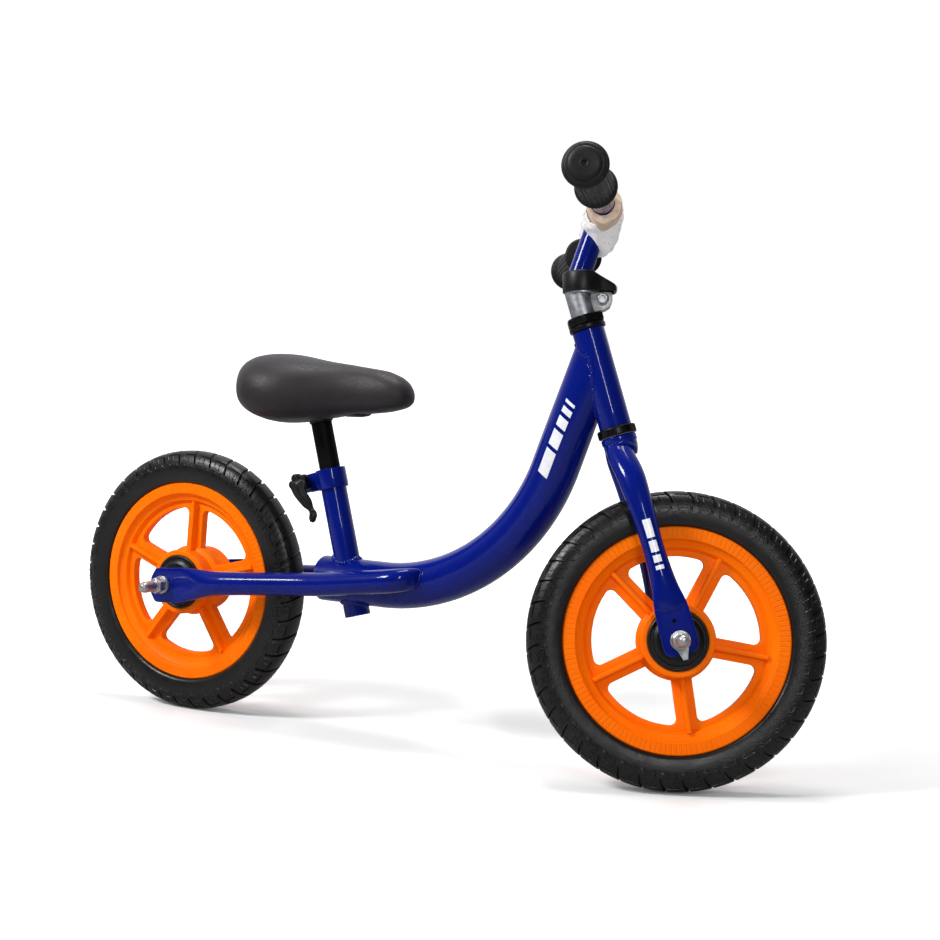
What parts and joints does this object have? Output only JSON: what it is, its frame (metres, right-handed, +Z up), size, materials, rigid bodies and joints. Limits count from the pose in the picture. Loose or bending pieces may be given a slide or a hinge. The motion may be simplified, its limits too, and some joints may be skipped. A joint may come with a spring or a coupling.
{
  "type": "balance bike",
  "caption": "Children's balance bike: curved steel frame and fork, foam tyres on five-spoke plastic wheels, padded height-adjustable saddle and handlebar with rubber grips.",
  "frame": {"origin": "centre of the bounding box on the floor, under the tyres", "axes": "+X forward, along the frame and its longest extent; +Y to the rider's left; +Z up. Stored with the bars turned 28.9 degrees to the rider's left, as in the picture."},
  "size_m": [0.853, 0.434, 0.5984],
  "materials": {
    "blue_paint": "glossy royal blue powder coat on steel",
    "black_paint": "glossy black on steel",
    "zinc": "zinc plated",
    "steel": "bright steel",
    "orange_plastic": "satin orange moulding",
    "black_plastic": "satin black moulding",
    "tyre_foam": "black closed-cell foam with block tread",
    "grip_rubber": "matt black rubber",
    "saddle_cover": "soft matt charcoal cover over foam",
    "cream_foam": "cream packing foam",
    "packing_wrap": "white speckled packing wrap"
  },
  "bodies": {
    "frame": {"main_tube": "blue_paint", "main_tube_cap": "blue_paint", "head_tube": "blue_paint", "seat_tube": "blue_paint", "left_chainstay": "blue_paint", "right_chainstay": "blue_paint", "seat_collar": "blue_paint", "seat_skewer": "steel", "skewer_nut": "black_plastic", "lower_headset_cup": "black_paint", "lower_headset_bearing": "steel", "upper_headset_cup": "black_paint", "upper_headset_bearing": "steel", "rear_axle": "steel", "rear_left_spacer": "zinc", "rear_left_washer": "zinc", "rear_left_nut": "zinc", "rear_right_spacer": "zinc", "rear_right_washer": "zinc", "rear_right_nut": "zinc"},
    "seat": {"seat_post": "black_paint", "saddle_pan": "black_plastic", "saddle_pad": "saddle_cover"},
    "lever": {"seat_lever": "black_plastic"},
    "fork": {"steerer_tube": "zinc", "fork_crown": "blue_paint", "left_fork_blade": "blue_paint", "right_fork_blade": "blue_paint", "crown_race": "black_paint", "headset_nut": "black_paint", "stem_clamp": "zinc", "clamp_cover": "black_plastic", "clamp_bolt": "zinc", "clamp_nut": "zinc", "front_axle": "steel", "front_left_spacer": "zinc", "front_left_washer": "zinc", "front_left_nut": "zinc", "front_right_spacer": "zinc", "front_right_washer": "zinc", "front_right_nut": "zinc"},
    "handlebar": {"stem_tube": "blue_paint", "handlebar_tube": "blue_paint", "left_grip": "grip_rubber", "right_grip": "grip_rubber", "bar_foam": "cream_foam", "bar_wrap": "packing_wrap"},
    "front_wheel": {"front_rim": "orange_plastic", "front_tyre": "tyre_foam", "front_left_hub_cap": "black_plastic", "front_left_bearing": "steel", "front_right_hub_cap": "black_plastic", "front_right_bearing": "steel"},
    "rear_wheel": {"rear_rim": "orange_plastic", "rear_tyre": "tyre_foam", "rear_left_hub_cap": "black_plastic", "rear_left_bearing": "steel", "rear_right_hub_cap": "black_plastic", "rear_right_bearing": "steel"}
  },
  "joints": [
    {"name": "steering", "type": "hinge", "parent": "frame", "child": "fork", "pos_m": [0.29715, -0.00978, 0.14249], "axis": [-0.342, 0, 0.9397], "continuous": true},
    {"name": "front_wheel_spin", "type": "hinge", "parent": "fork", "child": "front_wheel", "pos_m": [0.29715, -0.00978, 0.14249], "axis": [-0.4541, 0.8755, -0.1653], "continuous": true},
    {"name": "rear_wheel_spin", "type": "hinge", "parent": "frame", "child": "rear_wheel", "pos_m": [-0.28285, -0.00978, 0.14369], "axis": [0, 1, 0], "continuous": true},
    {"name": "seat_height", "type": "slide", "parent": "frame", "child": "seat", "axis": [-0.2588, 0, 0.9659], "range_m": [-0.03, 0.03]},
    {"name": "seat_lever_open", "type": "hinge", "parent": "frame", "child": "lever", "pos_m": [-0.12988, -0.02478, 0.2626], "axis": [0.9659, 0, 0.2588], "range_deg": [-90, 0]},
    {"name": "handlebar_height", "type": "slide", "parent": "fork", "child": "handlebar", "axis": [-0.342, 0, 0.9397], "range_m": [0, 0.03]}
  ]
}
